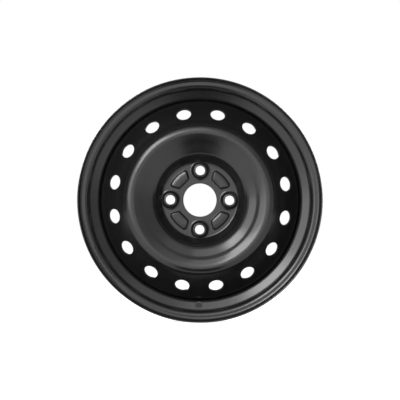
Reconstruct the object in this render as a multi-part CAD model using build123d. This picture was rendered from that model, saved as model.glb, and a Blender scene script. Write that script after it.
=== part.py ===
from build123d import *
import math
import os

# Rim: rolled sheet hoop, sizes of a 15 inch drop-centre rim with J flanges
RIM_SHEET = 2.4
RIM_WIDTH = 139.7
BEAD_SEAT_R = 190.1
FLANGE_HEIGHT = 17.3
FLANGE_CURL_R = 9.5
FLANGE_CURL_PAST_TOP = 22.0
LIP_EDGE = 0.7
SEAT_FILLET_R = 6.5
SEAT_TAPER = 5.0
SEAT_WIDTH = 19.5
HUMP_WIDTH = 6.0
HUMP_RISE = 1.4
HUMP_FOOT_R = 6.0
HUMP_TOP_R = 4.3
WELL_DEPTH = 18.4
WELL_WALL_TILT = 19.0
WELL_BEND_R = 5.5
WELL_INNER_END = 6.0
LEDGE_DEPTH = 5.6
LEDGE_INBOARD = 12.0
LEDGE_BEND_R = 14.0
INNER_HUMP_TOP_R = 8.0

# Valve hole in the outboard wall of the well, at the bottom of the wheel
VALVE_HOLE_D = 11.5
VALVE_HOLE_RISE = 6.9

# Disc: pressed sheet, its front surface from the hub pad out to the skirt
DISC_SHEET = 3.2
WHEEL_OFFSET = 45.0
BORE_R = 28.05
BORE_EDGE = 0.6
PAD_R = 64.2
PAD_BEND_R = 5.0
BOWL_WALL_RUN = 14.2
BOWL_WALL_TILT = 52.0
BOWL_BEND_R = 24.0
BOWL_RUN = 17.1
BOWL_TILT = 20.0
STEP_RUN = 5.8
STEP_TILT = 30.0
STEP_BEND_R = 15.0
SHOULDER_RUN = 6.2
SHOULDER_TILT = 19.0
SHOULDER_BEND_R = 40.0
CROWN_RUN = 12.7
CROWN_TILT = 15.0
CROWN_BEND_R = 17.5
SKIRT_BEND_R = 18.0
SKIRT_LENGTH = 24.2
SKIRT_EDGE = 14.0

# Ventilation holes, punched square through the slope between crown and skirt, a little below its middle
VENT_COUNT = 16
VENT_D = 24.5
VENT_SHIFT = 3.7

# Nut seats: hollow cones raised from the hub pad
BOLT_COUNT = 4
BOLT_CIRCLE_R = 50.0
BOLT_HOLE_R = 7.9
SEAT_CONE = 60.0
SEAT_TOP_R = 9.3
SEAT_LAND = 0.3
BOSS_HEIGHT = 5.5
BOSS_FLANK = 50.0
BOSS_FOOT_R = 4.5
BOSS_EDGE_R = 2.5

# Kidney pads: stiffening pads raised between the nut seats
KIDNEY_CHORD = 37.4
KIDNEY_CHORD_HALF = 12.0
KIDNEY_ARC_R = 57.2
KIDNEY_ARC_HALF = 21.5
KIDNEY_CORNER_R = 5.0
KIDNEY_HEIGHT = 2.2
KIDNEY_CROWN_R = 32.0
KIDNEY_DRAFT = 35.0
KIDNEY_EDGE_R = 2.5
KIDNEY_FOOT_R = 1.3

# Weld beads at the inboard edge of the skirt
WELD_COUNT = 8
WELD_ARC = 27.0
WELD_LEG = 3.0
WELD_FACE_R = 3.5
WELD_END_R = 1.0

# Length of the cutting cylinders, and how near an edge lies to the place it is picked by
DRILL_LENGTH = 20.0
NEAR = 0.01


def rise(run, tilt):
    """Height gained along a radial run at a tilt in degrees."""
    return run * math.tan(math.radians(tilt))


# Values worked out from the sizes above
FLANGE = RIM_WIDTH / 2
SEAT_END = FLANGE - SEAT_WIDTH
SEAT_END_R = BEAD_SEAT_R - rise(SEAT_WIDTH, SEAT_TAPER)
HUMP = SEAT_END - HUMP_WIDTH
HUMP_R = SEAT_END_R + HUMP_RISE
WELL_R = BEAD_SEAT_R - WELL_DEPTH
WELL_INSIDE_R = WELL_R - RIM_SHEET
LEDGE_R = BEAD_SEAT_R - LEDGE_DEPTH
PAD_BACK = WHEEL_OFFSET
PAD_FRONT = PAD_BACK + DISC_SHEET
STANDING = Rot(X=90)

# Radial run, tilt and bend at the end, run by run from the hub pad out to the crown
DISC_RUNS = [
    (BOWL_WALL_RUN, BOWL_WALL_TILT, BOWL_BEND_R),
    (BOWL_RUN, BOWL_TILT, STEP_BEND_R),
    (STEP_RUN, STEP_TILT, STEP_BEND_R),
    (SHOULDER_RUN, SHOULDER_TILT, SHOULDER_BEND_R),
    (CROWN_RUN, CROWN_TILT, CROWN_BEND_R),
]


def sheet_section(path, thickness, side):
    """Section of a sheet of even thickness that lies on one side of a path."""
    band = offset(path, amount=thickness, side=side)
    return Plane.XZ * make_face(band.edges())


def flange_curl(outward):
    """Tyre-side arc of a flange, from its wall over the top to the lip."""
    centre = (BEAD_SEAT_R + FLANGE_HEIGHT - FLANGE_CURL_R, outward * (FLANGE + FLANGE_CURL_R))
    return CenterArc(centre, FLANGE_CURL_R, -90 * outward, outward * (90 + FLANGE_CURL_PAST_TOP))


def well_wall_height(radius):
    """Height at a radius on the tyre side of the well's outboard wall."""
    return HUMP - rise(HUMP_R - radius, WELL_WALL_TILT)


def rim_path():
    """Tyre side of the rim as radius and height, from the outboard lip to the inboard lip."""
    wall_top = BEAD_SEAT_R + FLANGE_HEIGHT - FLANGE_CURL_R
    corners = [
        (wall_top, FLANGE),
        (BEAD_SEAT_R, FLANGE),
        (SEAT_END_R, SEAT_END),
        (HUMP_R, HUMP),
        (WELL_R, well_wall_height(WELL_R)),
        (WELL_R, WELL_INNER_END),
        (LEDGE_R, -LEDGE_INBOARD),
        (HUMP_R, -HUMP),
        (SEAT_END_R, -SEAT_END),
        (BEAD_SEAT_R, -FLANGE),
        (wall_top, -FLANGE),
    ]
    bends = [
        SEAT_FILLET_R,
        HUMP_FOOT_R,
        HUMP_TOP_R,
        WELL_BEND_R,
        LEDGE_BEND_R,
        LEDGE_BEND_R,
        INNER_HUMP_TOP_R,
        HUMP_FOOT_R,
        SEAT_FILLET_R,
    ]
    between = FilletPolyline(*corners, radius=bends)
    return Wire([*flange_curl(1).edges(), *between.edges(), *flange_curl(-1).edges()])


def valve_drill():
    """Cylinder square to the outboard wall of the well, at the bottom of the wheel."""
    radius = WELL_R + VALVE_HOLE_RISE
    on_wall = Pos(0, -radius, well_wall_height(radius)) * Rot(X=-WELL_WALL_TILT)
    return on_wall * Cylinder(VALVE_HOLE_D / 2, DRILL_LENGTH)


def make_rim():
    """Rolled hoop with broken lip edges and its valve hole."""
    section = sheet_section(rim_path(), RIM_SHEET, Side.LEFT)
    along_axis = section.vertices().sort_by(Axis.Z)
    section = chamfer(along_axis[:2] + along_axis[-2:], LIP_EDGE)
    return revolve(section, Axis.Z) - valve_drill()


def disc_corners():
    """Corners of the disc's front as radius and height, from the bore to the edge of the skirt."""
    corners = [(BORE_R, PAD_FRONT), (PAD_R, PAD_FRONT)]
    for run, tilt, bend in DISC_RUNS:
        radius, height = corners[-1]
        corners.append((radius + run, height + rise(run, tilt)))
    return corners + [(WELL_INSIDE_R, SKIRT_EDGE + SKIRT_LENGTH), (WELL_INSIDE_R, SKIRT_EDGE)]


def disc_path():
    """Front of the disc with its bends."""
    bends = [PAD_BEND_R, *[bend for run, tilt, bend in DISC_RUNS], SKIRT_BEND_R]
    return FilletPolyline(*disc_corners(), radius=bends)


def boss_profile(depth):
    """Nut seat's outline at a depth in the sheet, as radius from its axis and height above the pad."""
    half_turn = math.tan(math.radians(BOSS_FLANK / 2))
    flank_run = BOSS_HEIGHT / math.tan(math.radians(BOSS_FLANK))
    foot_bend = BOSS_FOOT_R + depth
    top = SEAT_TOP_R + SEAT_LAND + (BOSS_EDGE_R - depth) * half_turn
    foot = top + flank_run
    return FilletPolyline(
        (foot + foot_bend, -depth),
        (foot, -depth),
        (top, BOSS_HEIGHT - depth),
        (0, BOSS_HEIGHT - depth),
        radius=[foot_bend, max(BOSS_EDGE_R - depth, 0)],
    )


def boss_body(depth, base):
    """Solid of revolution under a nut seat's outline, down to a base height."""
    outline = boss_profile(depth)
    start = outline @ 0
    sides = Polyline(outline @ 1, (0, base), (start.X, base), start)
    return revolve(Plane.XZ * make_face(outline.edges() + sides.edges()), Axis.Z)


def nut_hole():
    """Conical seat for the nut, and the hole for the stud under it."""
    slope = math.tan(math.radians(SEAT_CONE / 2))
    seat_depth = (SEAT_TOP_R - BOLT_HOLE_R) / slope
    outline = Polyline(
        (0, BOSS_HEIGHT + seat_depth),
        (SEAT_TOP_R + seat_depth * slope, BOSS_HEIGHT + seat_depth),
        (BOLT_HOLE_R, BOSS_HEIGHT - seat_depth),
        (BOLT_HOLE_R, -DRILL_LENGTH),
        (0, -DRILL_LENGTH),
        close=True,
    )
    return revolve(Plane.XZ * make_face(outline.edges()), Axis.Z)


def kidney_outline():
    """Outline of a kidney pad across the X axis: an arc outside, a chord inside, round corners."""
    arc = CenterArc((0, 0), KIDNEY_ARC_R, -KIDNEY_ARC_HALF, 2 * KIDNEY_ARC_HALF)
    sides = Polyline(
        arc @ 1,
        (KIDNEY_CHORD, KIDNEY_CHORD_HALF),
        (KIDNEY_CHORD, -KIDNEY_CHORD_HALF),
        arc @ 0,
    )
    outline = make_face(arc.edges() + sides.edges())
    return fillet(outline.vertices(), KIDNEY_CORNER_R)


def kidney_crown():
    """Ring whose top is the crowned surface of the kidney pads."""
    inner = (KIDNEY_CHORD, KIDNEY_HEIGHT)
    outer = (KIDNEY_ARC_R, KIDNEY_HEIGHT)
    top = RadiusArc(inner, outer, KIDNEY_CROWN_R)
    sides = Polyline(outer, (KIDNEY_ARC_R, 0), (KIDNEY_CHORD, 0), inner)
    return revolve(Plane.XZ * make_face(top.edges() + sides.edges()), Axis.Z)


def drafted_pad(outline):
    """Crowned pad with sloping sides over an outline."""
    return extrude(outline, 2 * KIDNEY_HEIGHT, taper=KIDNEY_DRAFT) & kidney_crown()


def kidney_pad():
    """Raised pad with a rounded top edge."""
    pad = drafted_pad(kidney_outline())
    top_edges = pad.edges().filter_by(lambda edge: min((edge @ 0).Z, (edge @ 1).Z) > KIDNEY_HEIGHT / 2)
    return fillet(top_edges, KIDNEY_EDGE_R)


def kidney_hollow():
    """Hollow that the pressed pad leaves in the back of the sheet."""
    inset = rise(DISC_SHEET, 45 - KIDNEY_DRAFT / 2)
    return drafted_pad(offset(kidney_outline(), -inset))


def around(count, shape, first_angle=0.0):
    """Copies of a shape evenly spaced round the wheel's axis."""
    return [Rot(Z=first_angle + 360 / count * number) * shape for number in range(count)]


def vent_drill():
    """Cylinder square to the slope between crown and skirt, just below its middle."""
    crown, skirt_top = disc_corners()[-3:-1]
    run = skirt_top[0] - crown[0]
    fall = crown[1] - skirt_top[1]
    middle = Pos(crown[0] + run / 2, 0, crown[1] - fall / 2)
    on_slope = middle * Rot(Y=math.degrees(math.atan2(fall, run))) * Pos(X=VENT_SHIFT)
    return on_slope * Cylinder(VENT_D / 2, DRILL_LENGTH)


def add_kidneys(disc):
    """Disc with the kidney pads pressed out of its hub pad."""
    between_seats = 180 / BOLT_COUNT
    disc += around(BOLT_COUNT, Pos(Z=PAD_FRONT) * kidney_pad(), between_seats)
    on_pad = disc.edges().filter_by(lambda edge: abs((edge @ 0.5).Z - PAD_FRONT) < NEAR)
    feet = on_pad.filter_by(
        lambda edge: KIDNEY_CHORD - NEAR < math.hypot((edge @ 0.5).X, (edge @ 0.5).Y) < KIDNEY_ARC_R + NEAR
    )
    disc = fillet(feet, KIDNEY_FOOT_R)
    return disc - around(BOLT_COUNT, Pos(Z=PAD_BACK) * kidney_hollow(), between_seats)


def add_nut_seats(disc):
    """Disc with the hollow nut seats pressed out of its hub pad."""
    on_pad = Pos(BOLT_CIRCLE_R, 0, PAD_FRONT)
    disc += around(BOLT_COUNT, on_pad * boss_body(0, -DISC_SHEET / 2))
    disc -= around(BOLT_COUNT, on_pad * boss_body(DISC_SHEET, -DRILL_LENGTH))
    return disc - around(BOLT_COUNT, on_pad * nut_hole())


def make_disc():
    """Pressed disc with its hub pad, bowl, crown, ventilation holes and skirt."""
    disc = revolve(sheet_section(disc_path(), DISC_SHEET, Side.RIGHT), Axis.Z)
    bore_edges = disc.edges().filter_by(GeomType.CIRCLE).filter_by(
        lambda edge: abs(edge.radius - BORE_R) < NEAR
    )
    disc = chamfer(bore_edges, BORE_EDGE)
    disc = add_kidneys(disc)
    disc = add_nut_seats(disc)
    return disc - around(VENT_COUNT, vent_drill(), 180 / VENT_COUNT)


def weld_bead():
    """One fillet weld in the corner between the skirt's end and the inside of the well."""
    on_rim = (WELL_INSIDE_R, SKIRT_EDGE - WELD_LEG)
    on_skirt = (WELL_INSIDE_R - WELD_LEG, SKIRT_EDGE)
    legs = Polyline(on_skirt, (WELL_INSIDE_R, SKIRT_EDGE), on_rim)
    face = RadiusArc(on_rim, on_skirt, WELD_FACE_R)
    section = Plane.XZ * make_face(legs.edges() + face.edges())
    bead = Rot(Z=-WELD_ARC / 2) * revolve(section, Axis.Z, WELD_ARC)
    ends = bead.edges().filter_by(GeomType.CIRCLE).filter_by(
        lambda edge: abs(edge.radius - WELD_FACE_R) < NEAR
    )
    return fillet(ends, WELD_END_R)


def make_welds():
    """Ring of weld beads, clear of the valve hole."""
    return around(WELD_COUNT, weld_bead(), 180 / WELD_COUNT)


os.makedirs("parts", exist_ok=True)
export_step(STANDING * make_rim(), "parts/wheel_rim.step")
export_step(STANDING * make_disc(), "parts/wheel_disc.step")
export_step(STANDING * Compound(children=make_welds()), "parts/weld_beads.step")
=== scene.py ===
# %% [markdown]
# # A pressed steel wheel
# The object is a bare car wheel: a rolled rim, a pressed disc inside it and the weld beads that join the
# two. All of it is dipped in one coat of satin black paint, so the lesson is mostly about one dark finish
# and the light that shows its form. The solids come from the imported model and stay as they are.

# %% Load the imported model
import math
import bmesh
import bpy
from mathutils import Matrix, Vector


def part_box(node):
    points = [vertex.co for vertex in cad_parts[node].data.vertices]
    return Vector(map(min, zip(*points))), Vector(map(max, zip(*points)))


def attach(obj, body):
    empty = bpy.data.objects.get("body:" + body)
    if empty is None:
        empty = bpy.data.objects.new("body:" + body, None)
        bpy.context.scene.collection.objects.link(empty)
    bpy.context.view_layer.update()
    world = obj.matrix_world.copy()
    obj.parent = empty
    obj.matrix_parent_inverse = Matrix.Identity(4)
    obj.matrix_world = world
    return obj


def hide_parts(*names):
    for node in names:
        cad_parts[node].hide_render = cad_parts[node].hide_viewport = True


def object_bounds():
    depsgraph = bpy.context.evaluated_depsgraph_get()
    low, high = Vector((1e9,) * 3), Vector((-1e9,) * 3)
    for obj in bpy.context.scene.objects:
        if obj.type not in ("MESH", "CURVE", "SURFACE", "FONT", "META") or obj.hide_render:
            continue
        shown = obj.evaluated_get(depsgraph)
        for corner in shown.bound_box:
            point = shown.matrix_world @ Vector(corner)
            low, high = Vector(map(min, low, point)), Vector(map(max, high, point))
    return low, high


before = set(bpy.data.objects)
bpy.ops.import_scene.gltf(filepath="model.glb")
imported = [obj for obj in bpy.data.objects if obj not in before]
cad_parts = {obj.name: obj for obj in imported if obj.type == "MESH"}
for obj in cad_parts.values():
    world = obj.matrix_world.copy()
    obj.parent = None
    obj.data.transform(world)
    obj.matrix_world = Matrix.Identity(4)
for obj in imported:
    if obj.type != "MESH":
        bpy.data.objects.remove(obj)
cad_low, cad_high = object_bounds()
scene = bpy.context.scene
scene.view_settings.view_transform = "Standard"
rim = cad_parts["wheel_rim"]
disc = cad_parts["wheel_disc"]
print("nodes:", sorted(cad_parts), "size in mm:", [round(1000 * s, 1) for s in cad_high - cad_low])

# %% [markdown]
# ## Smooth shading on the solids
# A converted solid comes with one patch of faces for each of its surfaces, and the patches don't share
# points, so a soft bend shows a faint line where two patches meet. Sculpting or remeshing would change the
# form. Three modifiers only change the shading: one joins the points of neighbouring patches, one keeps
# the edges of holes and lips crisp, and one lets the large faces set the direction of the normals.

# %% Modifiers for shading
JOIN_DISTANCE = 2e-6
CRISP_ANGLE = math.radians(34)


def smooth_shading(piece):
    """Joins the patches of a solid and shades its bends as one surface."""
    weld = piece.modifiers.new("join_patches", "WELD")
    weld.merge_threshold = JOIN_DISTANCE
    split = piece.modifiers.new("crisp_edges", "EDGE_SPLIT")
    split.split_angle = CRISP_ANGLE
    split.use_edge_sharp = False
    normals = piece.modifiers.new("even_normals", "WEIGHTED_NORMAL")
    normals.mode = "FACE_AREA_WITH_ANGLE"
    normals.keep_sharp = True


for piece in (rim, disc):
    smooth_shading(piece)
    print(piece.name, "has", len(piece.data.polygons), "faces")

# %% [markdown]
# ## Effects that the finishes share
# The three finishes differ, but each has the fine waviness of sprayed or dipped paint, and the rim and the
# disc both carry marks that run round the wheel from rolling and pressing. Each effect is a node group, so
# it is built once and placed in each finish with its own strength.

# %% Helpers for node trees


def add_node(tree, kind, **values):
    """Adds a node and sets its properties by name."""
    node = tree.nodes.new(kind)
    for name, value in values.items():
        setattr(node, name, value)
    return node


def new_group(name, inputs, outputs):
    """Starts a shader node group with named float inputs and outputs."""
    group = bpy.data.node_groups.new(name, "ShaderNodeTree")
    for label, value in inputs.items():
        socket = group.interface.new_socket(label, in_out="INPUT", socket_type="NodeSocketFloat")
        socket.default_value = value
    for label in outputs:
        group.interface.new_socket(label, in_out="OUTPUT", socket_type="NodeSocketFloat")
    return group, add_node(group, "NodeGroupInput"), add_node(group, "NodeGroupOutput")


def math_node(tree, operation, first, second=None):
    """Adds a math node whose two inputs are sockets or numbers."""
    node = add_node(tree, "ShaderNodeMath", operation=operation)
    for slot, value in zip(node.inputs, (first, second)):
        if isinstance(value, bpy.types.NodeSocket):
            tree.links.new(value, slot)
        elif value is not None:
            slot.default_value = value
    return node.outputs[0]


def noise(tree, vector, scale, detail=2.0, roughness=0.5):
    """Adds a noise texture and gives its value."""
    node = add_node(tree, "ShaderNodeTexNoise")
    node.inputs["Detail"].default_value = detail
    node.inputs["Roughness"].default_value = roughness
    if isinstance(scale, bpy.types.NodeSocket):
        tree.links.new(scale, node.inputs["Scale"])
    else:
        node.inputs["Scale"].default_value = scale
    tree.links.new(vector, node.inputs["Vector"])
    return node.outputs["Fac"]


# %% Paint waviness
def make_orange_peel():
    """Fine waviness of a dried coat, with a slower change in how much it shines."""
    inputs = {"Scale": 420.0, "Patch Scale": 22.0}
    group, given, result = new_group("orange_peel", inputs, ["Height", "Patch"])
    place = add_node(group, "ShaderNodeTexCoord").outputs["Object"]
    group.links.new(noise(group, place, given.outputs["Scale"], 3.0), result.inputs["Height"])
    group.links.new(noise(group, place, given.outputs["Patch Scale"], 4.0, 0.6), result.inputs["Patch"])
    return group


orange_peel = make_orange_peel()
print("group:", orange_peel.name)


# %% Marks that run round the wheel
def make_turning_marks():
    """Rings round the wheel's axis: a noise that changes fast with radius and depth, slowly with angle."""
    inputs = {"Rings": 900.0, "Break Up": 4.0}
    group, given, result = new_group("turning_marks", inputs, ["Rings", "Streaks"])
    place = add_node(group, "ShaderNodeTexCoord").outputs["Object"]
    parts = add_node(group, "ShaderNodeSeparateXYZ")
    group.links.new(place, parts.inputs[0])
    x, y, z = parts.outputs
    squares = [math_node(group, "MULTIPLY", side, side) for side in (x, z)]
    radius = math_node(group, "SQRT", math_node(group, "ADD", *squares))
    across = math_node(group, "ADD", radius, y)
    ring_place = math_node(group, "MULTIPLY", across, given.outputs["Rings"])
    turn = add_node(group, "ShaderNodeCombineXYZ")
    for side, label in ((x, "X"), (z, "Y")):
        share = math_node(group, "DIVIDE", side, radius)
        group.links.new(math_node(group, "MULTIPLY", share, given.outputs["Break Up"]), turn.inputs[label])
    group.links.new(ring_place, turn.inputs["Z"])
    group.links.new(noise(group, turn.outputs[0], 1.0, 2.0), result.inputs["Streaks"])
    plain = add_node(group, "ShaderNodeCombineXYZ")
    group.links.new(ring_place, plain.inputs["Z"])
    group.links.new(noise(group, plain.outputs[0], 0.45, 3.0), result.inputs["Rings"])
    return group


turning_marks = make_turning_marks()
print("group:", turning_marks.name)

# %% [markdown]
# ## The black paint
# The wheel is dipped in an electrically deposited coat: nearly black, satin, and even. A dark paint shows
# almost nothing of its own colour, so what reads as material is the width of its highlights. Roughness
# therefore carries the finish, with small changes from patch to patch, and a bump far smaller than the
# sheet gives the coat its grain. Edges of holes are rounded by the bevel node, as a coat rounds them.

# %% Paint finishes
PAINT = (0.0062, 0.0062, 0.0065, 1.0)
PAINT_WORN = (0.0080, 0.0080, 0.0084, 1.0)
PAINT_SHINE = 0.34
COAT_EDGE = 0.0009
ROUGHNESS_PATCHES = 0.03
ROUGHNESS_STREAKS = 0.02
NOISE_LOW = 0.3
NOISE_HIGH = 0.7


def place_group(tree, group, **values):
    """Places a node group and sets its inputs by name."""
    node = add_node(tree, "ShaderNodeGroup", node_tree=group)
    for name, value in values.items():
        node.inputs[name.replace("_", " ")].default_value = value
    return node.outputs


def spread(tree, value, low, high):
    """Maps the middle of a noise to a range of values."""
    node = add_node(tree, "ShaderNodeMapRange")
    tree.links.new(value, node.inputs["Value"])
    node.inputs["From Min"].default_value = NOISE_LOW
    node.inputs["From Max"].default_value = NOISE_HIGH
    node.inputs["To Min"].default_value = low
    node.inputs["To Max"].default_value = high
    return node.outputs[0]


def bump(tree, height, distance, below):
    """Adds a bump of a real height over another normal."""
    node = add_node(tree, "ShaderNodeBump")
    node.inputs["Strength"].default_value = 1.0
    node.inputs["Distance"].default_value = distance
    tree.links.new(height, node.inputs["Height"])
    tree.links.new(below, node.inputs["Normal"])
    return node.outputs[0]


def black_paint(name, roughness, ring_depth, peel_depth, rings):
    """Satin black coat over steel that carries marks round the wheel's axis."""
    material = bpy.data.materials.new(name)
    material.use_nodes = True
    tree = material.node_tree
    shader = tree.nodes["Principled BSDF"]
    shader.inputs["Specular IOR Level"].default_value = PAINT_SHINE
    peel = place_group(tree, orange_peel)
    marks = place_group(tree, turning_marks, Rings=rings)
    colour = add_node(tree, "ShaderNodeMix", data_type="RGBA")
    colour.inputs["A"].default_value = PAINT
    colour.inputs["B"].default_value = PAINT_WORN
    tree.links.new(spread(tree, peel["Patch"], 0.0, 1.0), colour.inputs["Factor"])
    tree.links.new(colour.outputs["Result"], shader.inputs["Base Color"])
    patches = spread(tree, peel["Patch"], roughness - ROUGHNESS_PATCHES, roughness + ROUGHNESS_PATCHES)
    streaks = spread(tree, marks["Streaks"], -ROUGHNESS_STREAKS, ROUGHNESS_STREAKS)
    tree.links.new(math_node(tree, "ADD", patches, streaks), shader.inputs["Roughness"])
    edge = add_node(tree, "ShaderNodeBevel", samples=4)
    edge.inputs["Radius"].default_value = COAT_EDGE
    ringed = bump(tree, marks["Rings"], ring_depth, edge.outputs[0])
    grained = bump(tree, peel["Height"], peel_depth, ringed)
    tree.links.new(grained, shader.inputs["Normal"])
    print("finish:", name)
    return material


rim_paint = black_paint("rim_paint", roughness=0.20, ring_depth=6e-6, peel_depth=1.2e-5, rings=700.0)
disc_paint = black_paint("disc_paint", roughness=0.20, ring_depth=8e-6, peel_depth=1.2e-5, rings=620.0)
weld_paint = black_paint("weld_paint", roughness=0.30, ring_depth=4e-6, peel_depth=3.0e-5, rings=900.0)
for piece, paint in ((rim, rim_paint), (disc, disc_paint)):
    piece.data.materials.clear()
    piece.data.materials.append(paint)

# %% [markdown]
# ## Weld beads
# A fillet weld isn't a smooth strip: the pool freezes in overlapping scales, the bead swells and narrows
# a little, and its ends are rounded craters. The solids give each bead its place and size, so the rippled
# bead is swept along the same arc: a rounded corner section whose height follows a row of scales.

# %% Rippled weld beads
WELD_COUNT = 8
WELD_HALF_ANGLE = math.radians(13.5)
WELD_STEPS = 132
WELD_SCALES = 33
WELD_POINTS = 9
WELD_END_STEPS = 5
RIPPLE = 0.10
BEAD_HOLLOW = 0.20
BEAD_LEAST = 0.02
weld_low, weld_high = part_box("weld_beads")
weld_root_y = weld_low.y
weld_leg = weld_high.y - weld_low.y
weld_root_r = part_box("wheel_disc")[1].x
print("weld leg in mm:", round(1000 * weld_leg, 2), "root radius in mm:", round(1000 * weld_root_r, 2))


def bead_size(share):
    """Height of the bead along its length as a share of its leg: round ends and a row of scales."""
    end = min(share, 1 - share) * WELD_STEPS / WELD_END_STEPS
    taper = math.sqrt(1 - (1 - min(end, 1)) ** 2)
    scale = (share * WELD_SCALES) % 1
    return taper * (1 - RIPPLE * scale ** 2)


def bead_ring(share, middle_angle):
    """Points of one section of a bead: the root, then an arc from the disc's edge to the rim."""
    angle = middle_angle + WELD_HALF_ANGLE * (2 * share - 1)
    size = max(bead_size(share), BEAD_LEAST) * weld_leg
    points = [(weld_root_r, weld_root_y)]
    for number in range(WELD_POINTS):
        turn = math.pi / 2 * number / (WELD_POINTS - 1)
        bulge = size * (1 - BEAD_HOLLOW * abs(math.sin(2 * turn)))
        points.append((weld_root_r - bulge * math.cos(turn), weld_root_y + bulge * math.sin(turn)))
    return [Vector((r * math.cos(angle), y, r * math.sin(angle))) for r, y in points]


def add_bead(mesh, middle_angle):
    """Sweeps one closed bead along its arc."""
    rings = []
    for step in range(WELD_STEPS + 1):
        ring = bead_ring(step / WELD_STEPS, middle_angle)
        rings.append([mesh.verts.new(point) for point in ring])
    count = WELD_POINTS + 1
    for ring, after in zip(rings, rings[1:]):
        for number in range(count):
            following = (number + 1) % count
            mesh.faces.new((ring[number], ring[following], after[following], after[number]))
    mesh.faces.new(rings[0][::-1])
    mesh.faces.new(rings[-1])


def make_welds():
    """All the beads as one piece, in the places of the solids."""
    mesh = bmesh.new()
    for number in range(WELD_COUNT):
        add_bead(mesh, 2 * math.pi * (number + 0.5) / WELD_COUNT)
    bmesh.ops.recalc_face_normals(mesh, faces=mesh.faces)
    data = bpy.data.meshes.new("weld_ripples")
    mesh.to_mesh(data)
    mesh.free()
    data.shade_smooth()
    data.materials.append(weld_paint)
    piece = bpy.data.objects.new("weld_ripples", data)
    scene.collection.objects.link(piece)
    return piece


welds = make_welds()
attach(welds, "root")
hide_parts("weld_beads")
print("weld beads have", len(welds.data.polygons), "faces")

# %% [markdown]
# ## Camera
# The picture looks straight at the outer face from far away, so the vents at the edge show the same as
# those near the middle. A long lens from eight metres does that. The width of the field is set by the
# flange: its outline fills a known share of the frame. A small roll follows the wheel's turn.

# %% Camera
FRAME_PIXELS = 400
FLANGE_RADIUS_PIXELS = 122.95
WHEEL_CENTRE_PIXELS = (199.95, 200.06)
CAMERA_DISTANCE = 8.0
SENSOR_WIDTH = 36.0
ROLL = math.radians(0.57)
wheel_radius = (cad_high.x - cad_low.x) / 2
metres_per_pixel = wheel_radius / FLANGE_RADIUS_PIXELS
camera_data = bpy.data.cameras.new("camera")
camera_data.sensor_width = SENSOR_WIDTH
camera_data.lens = SENSOR_WIDTH * CAMERA_DISTANCE / (FRAME_PIXELS * metres_per_pixel)
camera = bpy.data.objects.new("camera", camera_data)
camera.location = (
    (FRAME_PIXELS / 2 - WHEEL_CENTRE_PIXELS[0]) * metres_per_pixel,
    cad_low.y - CAMERA_DISTANCE,
    (WHEEL_CENTRE_PIXELS[1] - FRAME_PIXELS / 2) * metres_per_pixel,
)
level = Matrix.Rotation(math.pi / 2, 4, "X")
camera.rotation_euler = (level @ Matrix.Rotation(ROLL, 4, "Z")).to_euler()
scene.collection.objects.link(camera)
scene.camera = camera
print("lens in mm:", round(camera_data.lens, 1))

# %% [markdown]
# ## Floor, background and light
# The background is plain white. Light Path gives white to the camera and to reflections, while the light
# that falls on the wheel comes from a few soft boxes. The floor adds its lit colour to that white, so the
# wheel's shadow stays on it. The main box stands up and to the left, as the bright arcs on the flange and
# the bowl show. Weaker ones beside it widen those arcs, a wide one in front lights the flat faces, and two
# behind the wheel light its back.

# %% Floor and world
ROUND_SIDES = 96
FLOOR_RADIUS = 14.0
FLOOR_COLOUR = (0.82, 0.82, 0.82, 1)
FLOOR_GLOW = 0.92
WORLD_FILL = 0.20


def seen_directly(tree):
    """One where a ray comes from the camera, a reflection or glass, and zero for other light."""
    path = add_node(tree, "ShaderNodeLightPath").outputs
    total = math_node(tree, "ADD", path["Is Camera Ray"], path["Is Glossy Ray"])
    return math_node(tree, "MINIMUM", math_node(tree, "ADD", total, path["Is Transmission Ray"]), 1.0)


def make_floor():
    """Pale floor that the wheel stands on."""
    bpy.ops.mesh.primitive_circle_add(
        vertices=ROUND_SIDES,
        radius=FLOOR_RADIUS,
        fill_type="NGON",
        location=(0, 0, cad_low.z),
    )
    floor = bpy.context.object
    floor.name = "floor"
    material = bpy.data.materials.new("pale_floor")
    material.use_nodes = True
    tree = material.node_tree
    shader = tree.nodes["Principled BSDF"]
    shader.inputs["Base Color"].default_value = FLOOR_COLOUR
    shader.inputs["Roughness"].default_value = 0.9
    shader.inputs["Specular IOR Level"].default_value = 0.0
    shader.inputs["Emission Color"].default_value = (1, 1, 1, 1)
    glow = math_node(tree, "MULTIPLY", seen_directly(tree), FLOOR_GLOW)
    tree.links.new(glow, shader.inputs["Emission Strength"])
    floor.data.materials.append(material)


def make_world():
    """White for the camera and reflections, dim for all other light."""
    world = bpy.data.worlds.new("studio")
    scene.world = world
    world.use_nodes = True
    tree = world.node_tree
    background = tree.nodes["Background"]
    background.inputs["Color"].default_value = (1, 1, 1, 1)
    strength = add_node(tree, "ShaderNodeMapRange")
    tree.links.new(seen_directly(tree), strength.inputs["Value"])
    strength.inputs["To Min"].default_value = WORLD_FILL
    strength.inputs["To Max"].default_value = 1.0
    tree.links.new(strength.outputs[0], background.inputs["Strength"])


make_floor()
make_world()
print("floor at z in mm:", round(1000 * cad_low.z, 1))

# %% Soft boxes
LIGHT_DISTANCE = 2.4
# Clock angle from the top and angle off the view axis in degrees, width and height in metres, radiance
SOFT_BOXES = {
    "key": (-42, 32, 0.66, 1.30, 14.0),
    "left": (-76, 32, 0.94, 1.10, 4.5),
    "top": (-10, 32, 0.90, 1.10, 2.6),
    "top_right": (27, 36, 0.70, 1.10, 0.8),
    "front": (-45, 4, 1.50, 1.50, 1.7),
    "back_left": (-55, 142, 1.10, 1.30, 7.0),
    "back_right": (62, 150, 0.80, 1.30, 4.0),
}


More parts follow.
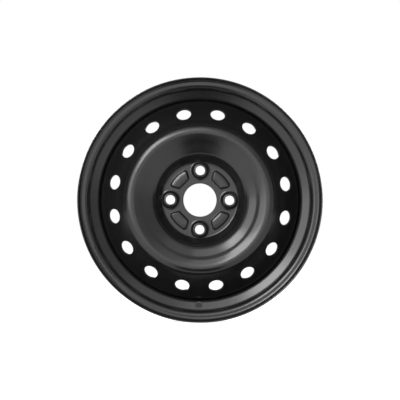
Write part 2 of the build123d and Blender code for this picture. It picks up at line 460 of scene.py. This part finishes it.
def soft_box(name, clock, off_axis, width, height, radiance):
    """Rectangular lamp that faces the wheel, its height along the line out from the view axis."""
    turn = math.radians(clock)
    tilt = math.radians(off_axis)
    outward = Vector((math.sin(turn), 0, math.cos(turn)))
    toward = outward * math.sin(tilt) + Vector((0, -1, 0)) * math.cos(tilt)
    upright = (outward - toward * outward.dot(toward)).normalized()
    sideways = upright.cross(toward)
    lamp = bpy.data.lights.new(name, "AREA")
    lamp.shape = "RECTANGLE"
    lamp.size = width
    lamp.size_y = height
    lamp.energy = radiance * math.pi * width * height
    box = bpy.data.objects.new(name, lamp)
    axes = Matrix((sideways, upright, toward)).transposed().to_4x4()
    box.matrix_world = Matrix.Translation(toward * LIGHT_DISTANCE) @ axes
    box.visible_camera = False
    scene.collection.objects.link(box)
    print("lamp:", name, "power in watts:", round(lamp.energy, 1))


for name, values in SOFT_BOXES.items():
    soft_box(name, *values)


# %% [markdown]
# ## Cards for the reflections
# Paint this dark mirrors what stands round it, so the studio's cards matter as much as its lamps. A dark
# hoop and a dark strip at the wheel's foot keep the steep slope outside the crown black. A dark card on the
# floor gives the dark sector at the top of the bowl, and two glowing cards beside it, lit by no lamp but by
# their own emission, lift the parts next to that sector. The cards show only in reflections.

# %% Cards
HOOP_RADIUS = 1.2
HOOP_NEAR = -0.22
HOOP_FAR = -0.62
CARD_LIFT = 0.002
# Left and right edges, near and far edges in metres, and radiance
FLOOR_CARDS = {
    "foot_card": (-1.20, 1.20, -0.086, -0.140, 0.0),
    "dark_card": (-0.070, 0.070, -0.20, -1.10, 0.0),
    "left_card": (-0.40, -0.10, -0.20, -1.10, 2.2),
    "right_card": (0.14, 0.40, -0.20, -1.10, 1.7),
}


def show_in_reflections(card, radiance):
    """Gives a card an even brightness and hides it from all but the reflections."""
    material = bpy.data.materials.new(card.name)
    material.use_nodes = True
    shader = material.node_tree.nodes["Principled BSDF"]
    shader.inputs["Base Color"].default_value = (0, 0, 0, 1)
    shader.inputs["Specular IOR Level"].default_value = 0.0
    shader.inputs["Emission Color"].default_value = (1, 1, 1, 1)
    shader.inputs["Emission Strength"].default_value = radiance
    card.data.materials.append(material)
    card.visible_camera = False
    card.visible_shadow = False
    card.visible_diffuse = False
    print("card:", card.name)


def floor_card(name, left, right, near, far, radiance):
    """Card that lies on the floor in front of the wheel."""
    corners = [(left, near), (right, near), (right, far), (left, far)]
    data = bpy.data.meshes.new(name)
    data.from_pydata([(x, y, cad_low.z + CARD_LIFT) for x, y in corners], [], [(0, 1, 2, 3)])
    card = bpy.data.objects.new(name, data)
    scene.collection.objects.link(card)
    show_in_reflections(card, radiance)


def dark_hoop():
    """Open hoop round the wheel's axis, just in front of its outer face."""
    bpy.ops.mesh.primitive_cylinder_add(
        vertices=ROUND_SIDES,
        radius=HOOP_RADIUS,
        depth=HOOP_NEAR - HOOP_FAR,
        end_fill_type="NOTHING",
        location=(0, (HOOP_NEAR + HOOP_FAR) / 2, 0),
        rotation=(math.pi / 2, 0, 0),
    )
    hoop = bpy.context.object
    hoop.name = "dark_hoop"
    show_in_reflections(hoop, 0.0)


dark_hoop()
for name, values in FLOOR_CARDS.items():
    floor_card(name, *values)
